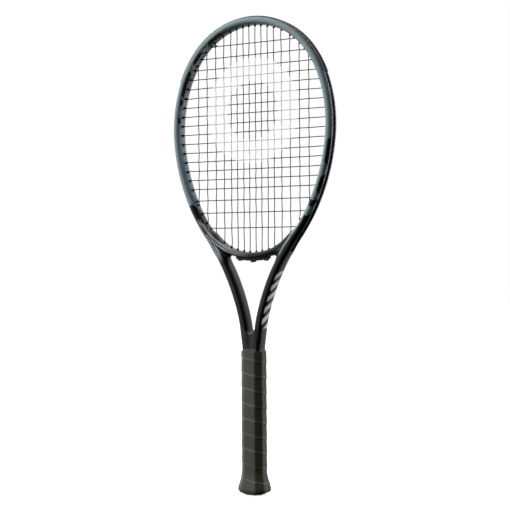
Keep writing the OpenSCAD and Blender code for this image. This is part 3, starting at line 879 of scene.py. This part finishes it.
def hit_upright(x, upper):
    """The ring and heading where an upright string meets the right of the head."""
    rings = RINGS[0:2] if upper else RINGS[3:5]
    headings = [math.degrees(math.asin(clamped((x - ring[0]) / (ring[2] + MOUTH)))) for ring in rings]
    return first_within(zip(rings, headings if upper else [180.0 - heading for heading in headings]))


def hit_level(z):
    """The same for a level string."""
    headings = [math.degrees(math.acos(clamped((z - ring[1]) / (ring[2] + MOUTH)))) for ring in RINGS]
    return first_within(zip(RINGS, headings))


HEAD_HITS = [hit_upright(x, True) for x in MAIN_X]
CROSS_HITS = [hit_level(z) for z in CROSS_Z]
SHOULDER_HITS = [hit_upright(x, False) for x in MAIN_X[N_BRIDGE:]]


def turn_out(ring, heading, mouth, out, side, back):
    """From the mouth of a hole to the lane in the channel; side says which way it turns."""
    step = side * math.degrees(1.0 / abs(ring[2]))
    return [
        on_ring(ring, heading, mouth),
        on_ring(ring, heading, out - BEND),
        on_ring(ring, heading + step * 0.3 * BEND, out - 0.3 * BEND),
        on_ring(ring, heading + step * BEND, out, 0.25 * back),
        on_ring(ring, heading + step * 3.2 * BEND, out, back),
    ]


def loop(first, last, side_first, side_last, back):
    """Loop of string in the channel between two holes of the head."""
    if first[0] is last[0]:
        middle = on_ring(first[0], (first[1] + last[1]) / 2.0, STRING_OUT, back)
    else:
        upper = min(first[0], last[0], key=RINGS.index)
        middle = on_ring(upper, upper[4], STRING_OUT, back)
    start = turn_out(*first, MOUTH, STRING_OUT, side_first, back)
    end = turn_out(*last, MOUTH, STRING_OUT, side_last, back)
    return start + [middle] + end[::-1]


def bridge_turn(x, side):
    """The same through the bridge, for the main at this x."""
    heading = 180.0 - math.degrees(math.asin(x / (BRIDGE_RING[2] + BRIDGE_MOUTH)))
    return turn_out(BRIDGE_RING, heading, BRIDGE_MOUTH, BRIDGE_OUT, side, 0.0)


def corner_turn():
    """The main that goes through the corner of the bridge, down and inwards."""
    x = MAIN_X[N_BRIDGE - 1]
    cx, cz, radius = BRIDGE_RING[:3]
    top = cz - math.sqrt((radius + BRIDGE_MOUTH) ** 2 - (x - cx) ** 2)
    bottom = cz - math.sqrt((radius + BRIDGE_HALF) ** 2 - (x - cx) ** 2)
    inwards_and_up = [(0.0, 2.0), (0.4, 0.7), (1.6, -0.2)]
    return [(x, 0.0, top)] + [(x - inwards, 0.0, bottom + up) for inwards, up in inwards_and_up]


def throat_loop(number):
    """Loop below the head between the mains number and number + 1 of one half."""
    if number < N_BRIDGE - 2:
        return bridge_turn(MAIN_X[number], -1) + bridge_turn(MAIN_X[number + 1], 1)[::-1]
    if number == N_BRIDGE - 2:
        return bridge_turn(MAIN_X[number], -1) + corner_turn()[::-1]
    first = SHOULDER_HITS[number - N_BRIDGE]
    last = SHOULDER_HITS[number + 1 - N_BRIDGE]
    side = 1 if first[0] is RINGS[4] else -1
    return loop(first, last, side, 1, LANE)


def main_x(number):
    """Place of a main, counted from the leftmost."""
    return -MAIN_X[N_MAIN - 1 - number] if number < N_MAIN else MAIN_X[number - N_MAIN]


def over(main, cross):
    """How far towards the back a main lies where it meets this cross."""
    return WEAVE if (main + cross) % 2 else -WEAVE


def reaches(main, cross):
    """Is the cross long enough to meet this main?"""
    ring, heading = CROSS_HITS[cross]
    return abs(main_x(main)) < on_ring(ring, heading, MOUTH)[0] - 2.0


def main_run(main):
    """Crossing points of one main, from the head down."""
    return [(main_x(main), over(main, c), CROSS_Z[c]) for c in range(N_CROSS) if reaches(main, c)]


def cross_run(cross):
    """Crossing points of one cross, from the left."""
    return [(main_x(m), -over(m, cross), CROSS_Z[cross]) for m in range(2 * N_MAIN) if reaches(m, cross)]


def mirrored(points):
    return [(-x, y, z) for x, y, z in points]


def half_of_mains(side):
    """Path of one half of the main string, from the middle of the throat outwards."""
    path = bridge_turn(MAIN_X[0], 1)[::-1]
    for number in range(N_MAIN):
        run = main_run(N_MAIN + number if side > 0 else N_MAIN - 1 - number)
        run = run if side > 0 else mirrored(run)
        path += run[::-1] if number % 2 == 0 else run
        if number == N_MAIN - 1:
            path += turn_out(*SHOULDER_HITS[-1], MOUTH, STRING_OUT, -1, LANE)
        elif number % 2 == 0:
            path += loop(HEAD_HITS[number], HEAD_HITS[number + 1], 1, -1, LANE)
        else:
            path += throat_loop(number)
    return path if side > 0 else mirrored(path)


def main_path():
    return half_of_mains(-1)[::-1] + half_of_mains(1)


def cross_path():
    """The cross string, to and fro from the top left down."""
    path = mirrored(turn_out(*CROSS_HITS[0], MOUTH, STRING_OUT, -1, -LANE))[::-1]
    for cross in range(N_CROSS):
        run = cross_run(cross)
        path += run if cross % 2 == 0 else run[::-1]
        if cross == N_CROSS - 1:
            path += turn_out(*CROSS_HITS[cross], MOUTH, STRING_OUT, -1, -LANE)
        else:
            side = loop(CROSS_HITS[cross], CROSS_HITS[cross + 1], 1, -1, -LANE)
            path += side if cross % 2 == 0 else mirrored(side)
    return path


def part_way(first, last, start, end, t):
    return first + (last - first) * (t - start) / (end - start)


def rounded_path(points, spacing=2.2):
    """Smooth curve through the points, with samples about this far apart."""
    least_gap = 0.05
    points = np.array(points)
    keep = np.concatenate([[True], np.linalg.norm(np.diff(points, axis=0), axis=1) > least_gap])
    points = points[keep]
    padded = np.concatenate([2 * points[:1] - points[1:2], points, 2 * points[-1:] - points[-2:-1]])
    knots = np.concatenate([[0.0], np.cumsum(np.linalg.norm(np.diff(padded, axis=0), axis=1) ** 0.5)])
    result = []
    for number in range(1, len(padded) - 2):
        p0, p1, p2, p3 = padded[number - 1:number + 3]
        t0, t1, t2, t3 = knots[number - 1:number + 3]
        count = max(1, round(float(np.linalg.norm(p2 - p1)) / spacing))
        for step in range(count):
            t = t1 + (t2 - t1) * step / count
            a1 = part_way(p0, p1, t0, t1, t)
            a2 = part_way(p1, p2, t1, t2, t)
            a3 = part_way(p2, p3, t2, t3, t)
            b1 = part_way(a1, a2, t0, t2, t)
            b2 = part_way(a2, a3, t1, t3, t)
            result.append(part_way(b1, b2, t1, t2, t))
    result.append(points[-1])
    return np.array(result)


def ring_faces(rings, sides):
    """Quads between rings of points that follow one another."""
    faces = []
    for low in range(0, (rings - 1) * sides, sides):
        for k in range(sides):
            a = low + k
            b = low + (k + 1) % sides
            faces.append((a, b, b + sides, a + sides))
    return faces


def swept_tube(path, radius, sides=8):
    """Vertices and faces of a round string along a path that stays near the XZ plane."""
    ahead = np.concatenate([path[1:], path[-1:]])
    behind = np.concatenate([path[:1], path[:-1]])
    tangent = ahead - behind
    tangent /= np.linalg.norm(tangent, axis=1, keepdims=True)
    level = np.cross(tangent, [0.0, 1.0, 0.0])
    level /= np.linalg.norm(level, axis=1, keepdims=True)
    upward = np.cross(level, tangent)
    turns = np.arange(sides) * 2.0 * math.pi / sides
    offsets = level[:, None, :] * np.cos(turns)[:, None] + upward[:, None, :] * np.sin(turns)[:, None]
    vertices = (path[:, None, :] + radius * offsets).reshape(-1, 3)
    faces = ring_faces(len(path), sides)
    faces.append(tuple(range(sides))[::-1])
    last = (len(path) - 1) * sides
    faces.append(tuple(range(last, last + sides)))
    return vertices, faces


def add_strings():
    look = string_look()
    for name, path in (("main_string", main_path()), ("cross_string", cross_path())):
        vertices, faces = swept_tube(rounded_path(path), STRING_RADIUS)
        piece = make_object(name + "_woven", vertices, faces)
        piece.data.materials.append(look)
        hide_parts(name)
        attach(piece, "root")
    dress("tie_off_knots", look)


# The ring printed on the strings: height of its centre, inner and outer radius, in metres
RING_HEIGHT = 0.551
RING_INNER = 0.044
RING_OUTER = 0.078
STRING_DARK = (38, 39, 40)
STRING_GREY = (70, 71, 72)
RING_WHITE = (248, 248, 248)


def string_look():
    """Dark string with a plain white ring printed on the middle of the bed."""
    paint = Painter("string_look")
    x, _, z = paint.position()
    high = z - RING_HEIGHT
    radius = (x * x + high * high).math("SQRT")
    worn = paint.noise(scale=900.0, detail=3.0, roughness=0.6) * 0.004
    ring = (radius + worn).between(RING_INNER, RING_OUTER, 0.001)
    grain = paint.noise(scale=2500.0, detail=2.0)
    greyer = grain.above(0.6, 0.2) * 0.5
    colour = paint.mix(greyer, STRING_DARK, STRING_GREY)
    colour = paint.mix(ring * 0.96, colour, RING_WHITE)
    paint.shader.inputs["Specular IOR Level"].default_value = 0.5
    paint.bump(grain, height=0.00004, strength=0.5)
    return paint.finish(colour, grain * 0.2 + 0.35)


# ---------------- handle

GRIP_LOW = 3.6
GRIP_TOP = 205.0
# Each turn of the strip climbs by the pitch, and stands above the handle by the step
WRAP_PITCH = 21.6
WRAP_STEP = 0.55
WRAP_CREASE = 0.18
WRAP_PROUD = 0.5
WRAP_THICKNESS = 1.3
WRAP_START = -8.0
WRAP_COLUMNS = 120
# Rows of points across one turn, as shares of the pitch. They are close together at its edges.
WRAP_ROWS = [
    0.0, 0.012, 0.03, 0.055, 0.09, 0.14, 0.2, 0.28, 0.36, 0.44, 0.52, 0.6, 0.68, 0.76, 0.84, 0.9, 0.94,
    0.965, 0.985,
]
# Height, half width, half depth and corner cut of the outside of the grip
GRIP_STATIONS = [
    (-20.0, 16.0, 14.0, 8.4),
    (GRIP_LOW, 20.5, 18.5, 9.1),
    (7.5, 21.5, 19.5, 9.4),
    (14.0, 20.1, 18.1, 9.1),
    (22.0, 17.9, 15.7, 8.3),
    (31.0, 16.5, 14.3, 7.7),
    (240.0, 16.5, 14.3, 7.7),
]
# The same for the band of tape over the top of the grip
TAPE_STATIONS = [
    (195.5, 16.55, 14.35, 7.7),
    (195.6, 16.95, 14.75, 7.9),
    (196.1, 17.05, 14.85, 7.9),
    (203.8, 17.05, 14.85, 7.9),
    (205.4, 16.7, 14.5, 7.4),
    (206.3, 15.2, 13.1, 6.0),
    (207.0, 14.5, 12.4, 4.4),
    (208.6, 14.35, 12.3, 4.2),
    (209.0, 14.1, 12.1, 4.2),
    (209.0, 13.2, 11.4, 4.2),
]
TAPE_THICKNESS = 0.4
TAPE_COLUMNS = 96
# The higher this is, the sharper are the edges between the flats
OCTAGON_SHARPNESS = 44.0


def smoothed(stations, blur):
    """Heights and section sizes in fine steps, with the corners of the profile rounded."""
    step = 0.25
    table = np.array(stations)
    z = np.arange(table[0, 0], table[-1, 0], step)
    count = int(blur / step) * 2 + 1
    weights = np.hanning(count + 2)[1:-1]
    weights /= weights.sum()
    columns = []
    for column in range(1, table.shape[1]):
        values = np.interp(z, table[:, 0], table[:, column])
        padded = np.pad(values, count // 2, mode="edge")
        columns.append(np.convolve(padded, weights, mode="valid"))
    return z, columns


def octagon_radius(angle, half_width, half_depth, cut):
    """Distance from the axis to the side of an octagon with rounded edges."""
    bevel = (half_width + half_depth - cut) / math.sqrt(2.0)
    total = 0.0
    for number in range(8):
        normal = number * math.pi / 4.0
        facing = np.maximum(np.cos(angle - normal), 0.0)
        size = (half_width, bevel, half_depth, bevel)[number % 4]
        total = total + (facing / size) ** OCTAGON_SHARPNESS
    return total ** (-1.0 / OCTAGON_SHARPNESS)


def even_angles(count):
    """Angles that are evenly spaced along the outline of the grip."""
    fine = np.linspace(0.0, 2.0 * math.pi, 4001)
    radius = octagon_radius(fine, *GRIP_STATIONS[-1][1:])
    steps = np.hypot(np.diff(radius * np.cos(fine)), np.diff(radius * np.sin(fine)))
    length = np.concatenate([[0.0], np.cumsum(steps)])
    return np.interp(np.arange(count) / count * length[-1], length, fine)


def wrap_faces(heights):
    """Quads between neighbouring rows. Each row runs on from the end of the row one turn below it."""
    rows, columns = heights.shape
    faces = []
    for row in range(rows - 1):
        for column in range(columns):
            after = (row, column + 1) if column < columns - 1 else (row - len(WRAP_ROWS), 0)
            if after[0] < 0:
                continue
            corners = [(row, column), after, (after[0] + 1, after[1]), (row + 1, column)]
            levels = [heights[corner] for corner in corners]
            if max(levels) > min(levels):
                faces.append([corner[0] * columns + corner[1] for corner in corners])
    return faces


def add_grip_wrap():
    """A strip wound round the handle; each turn laps over the one below."""
    turns = int((GRIP_TOP - GRIP_LOW) / WRAP_PITCH) + 3
    table_z, (wide, deep, cut) = smoothed(GRIP_STATIONS, 3.0)
    angles = even_angles(WRAP_COLUMNS)
    share = np.arange(WRAP_COLUMNS) / WRAP_COLUMNS
    row_z = WRAP_START + WRAP_PITCH * np.array([turn + spot for turn in range(turns) for spot in WRAP_ROWS])
    place = np.array(WRAP_ROWS * turns)
    heights = np.clip(row_z[:, None] - WRAP_PITCH * share, GRIP_LOW, GRIP_TOP)
    sizes = [np.interp(heights, table_z, column) for column in (wide, deep, cut)]
    lap = wrap_height(place)[:, None] * smoothstep(heights, GRIP_LOW, GRIP_LOW + 2.5)
    radius = octagon_radius(angles, *sizes) + lap + WRAP_PROUD
    points = np.stack([radius * np.cos(angles), radius * np.sin(angles), heights], axis=2).reshape(-1, 3)
    grip = make_object("grip_wrap_wound", points, wrap_faces(heights))
    set_attribute(grip, "place", np.repeat(place, WRAP_COLUMNS))
    merge_close(grip, 0.02)
    add_thickness(grip, WRAP_THICKNESS)
    grip.data.materials.append(grip_look())
    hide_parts("grip_wrap")
    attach(grip, "root")


def wrap_height(place):
    """Height of the strip across one turn: a rounded lower edge, a soft crown, then the crease."""
    rise = smoothstep(place, 0.0, 0.03)
    crown = 1.0 - 0.75 * smoothstep(place, 0.05, 1.0)
    crease = smoothstep(place, 0.94, 1.0)
    return WRAP_STEP * rise * crown * (1.0 - crease) - WRAP_CREASE * (1.0 - rise + crease)


def merge_close(piece, distance):
    """Join points that are closer than this, and drop the ones that no face uses."""
    work = bmesh.new()
    work.from_mesh(piece.data)
    bmesh.ops.remove_doubles(work, verts=work.verts, dist=distance * MM)
    loose = [vertex for vertex in work.verts if not vertex.link_faces]
    bmesh.ops.delete(work, geom=loose, context="VERTS")
    work.to_mesh(piece.data)
    work.free()
    piece.data.shade_smooth()


def add_thickness(piece, thickness):
    """Turn the surface into a wall that reaches this far inwards."""
    modifier = piece.modifiers.new("wall", "SOLIDIFY")
    modifier.thickness = thickness * MM
    modifier.offset = -1.0
    graph = bpy.context.evaluated_depsgraph_get()
    mesh = bpy.data.meshes.new_from_object(piece.evaluated_get(graph))
    piece.modifiers.clear()
    piece.data = mesh


GRIP_DARK = (66, 64, 59)
GRIP_WORN = (100, 97, 90)
# Painted highlight along the edge of each turn
GRIP_RIDGE_HIGHLIGHT = (134, 131, 122)
TAPE_DARK = (62, 60, 57)
TAPE_WORN = (84, 81, 76)


def grip_look():
    """Soft dark wrap, worn in patches, with a painted highlight along the edge of each turn."""
    paint = Painter("grip_look")
    pores = paint.cells(1500.0)
    grain = paint.noise(scale=420.0, detail=4.0, roughness=0.6)
    broad = paint.noise(scale=35.0, detail=2.0)
    wear = grain * 0.5 + broad * 0.5
    colour = paint.mix(wear, GRIP_DARK, GRIP_WORN)
    # Lighter colour along the rounded edge of each turn: a painted highlight
    ridge_highlight = paint.attribute("place").between(0.02, 0.19, 0.06)
    colour = paint.mix(ridge_highlight * broad.above(0.40, 0.25) * 0.5, colour, GRIP_RIDGE_HIGHLIGHT)
    paint.shader.inputs["Specular IOR Level"].default_value = 0.35
    paint.bump(grain * 0.6 + pores * 0.4, height=0.00012, strength=0.6)
    return paint.finish(colour, grain * 0.2 + 0.42)


def add_finishing_tape():
    """Band of tape over the top of the grip: a skin through the octagonal sections."""
    angles = even_angles(TAPE_COLUMNS)
    points = []
    for z, *sizes in TAPE_STATIONS:
        radius = octagon_radius(angles, *sizes)
        points += [(r * math.cos(a), r * math.sin(a), z) for r, a in zip(radius, angles)]
    tape = make_object("finishing_tape_band", points, ring_faces(len(TAPE_STATIONS), TAPE_COLUMNS))
    add_thickness(tape, TAPE_THICKNESS)
    tape.data.materials.append(tape_look())
    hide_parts("finishing_tape")
    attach(tape, "root")


def tape_look():
    paint = Painter("tape_look")
    grain = paint.noise(scale=900.0, detail=3.0, roughness=0.6)
    colour = paint.mix(grain * 0.6, TAPE_DARK, TAPE_WORN)
    paint.bump(grain, height=0.00006, strength=0.5)
    return paint.finish(colour, grain * 0.15 + 0.45)


# ---------------- CAD pieces that stay

# The darkest and lightest shade of each plastic, and the other colours
GROMMET_BLACKS = ((20, 20, 21), (34, 34, 35))
BUMPER_GREYS = ((38, 35, 36), (104, 95, 97))
CAP_BLACKS = ((18, 18, 19), (30, 30, 31))
BADGE_TEALS = ((88, 104, 108), (104, 122, 126))
SCUFF = (150, 142, 140)
STEEL_DARK = (150, 150, 152)
STEEL_LIGHT = (196, 196, 198)
FOAM_DARK = (60, 58, 54)
FOAM_LIGHT = (104, 100, 92)


def dress(node, material):
    """Give a carried-over CAD node a better material."""
    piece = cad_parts[node]
    piece.data.materials.clear()
    piece.data.materials.append(material)


def moulded_look(name, low, high, roughness=0.45, scuffs=0.0):
    """Moulded plastic: a fine grain and, where asked for, scuffed light specks."""
    paint = Painter(name)
    grain = paint.noise(scale=700.0, detail=3.0, roughness=0.6)
    colour = paint.mix(grain, low, high)
    if scuffs:
        specks = paint.noise(scale=260.0, detail=5.0, roughness=0.7).above(0.56, 0.05)
        colour = paint.mix(specks * scuffs, colour, SCUFF)
    paint.bump(grain, height=0.00005, strength=0.5)
    return paint.finish(colour, grain * 0.2 + (roughness - 0.1))


def brushed_metal():
    paint = Painter("staple_look")
    lines = paint.noise(scale=500.0, detail=2.0, stretch=(0.05, 1.0, 1.0))
    colour = paint.mix(lines, STEEL_DARK, STEEL_LIGHT)
    paint.shader.inputs["Metallic"].default_value = 1.0
    return paint.finish(colour, lines * 0.2 + 0.25)


def foam_look():
    paint = Painter("foam_look")
    pores = paint.cells(900.0)
    colour = paint.mix(pores, FOAM_DARK, FOAM_LIGHT)
    paint.bump(pores, height=0.0002, strength=0.6)
    return paint.finish(colour, 0.85)


def dress_cad_pieces():
    plastic = moulded_look("grommet_look", *GROMMET_BLACKS)
    for node in ("side_grommet_strip_right", "side_grommet_strip_left", "shoulder_grommets",
                 "throat_grommet_strip"):
        dress(node, plastic)
    dress("bumper_guard", moulded_look("bumper_look", *BUMPER_GREYS, roughness=0.5, scuffs=0.5))
    dress("butt_cap", moulded_look("cap_look", *CAP_BLACKS))
    dress("butt_cap_badge", moulded_look("badge_look", *BADGE_TEALS, roughness=0.35))
    dress("butt_cap_staples", brushed_metal())
    dress("handle_pallet", foam_look())


add_camera()
add_studio()
add_floor()
add_frame_shell()
add_strings()
add_grip_wrap()
add_finishing_tape()
dress_cad_pieces()
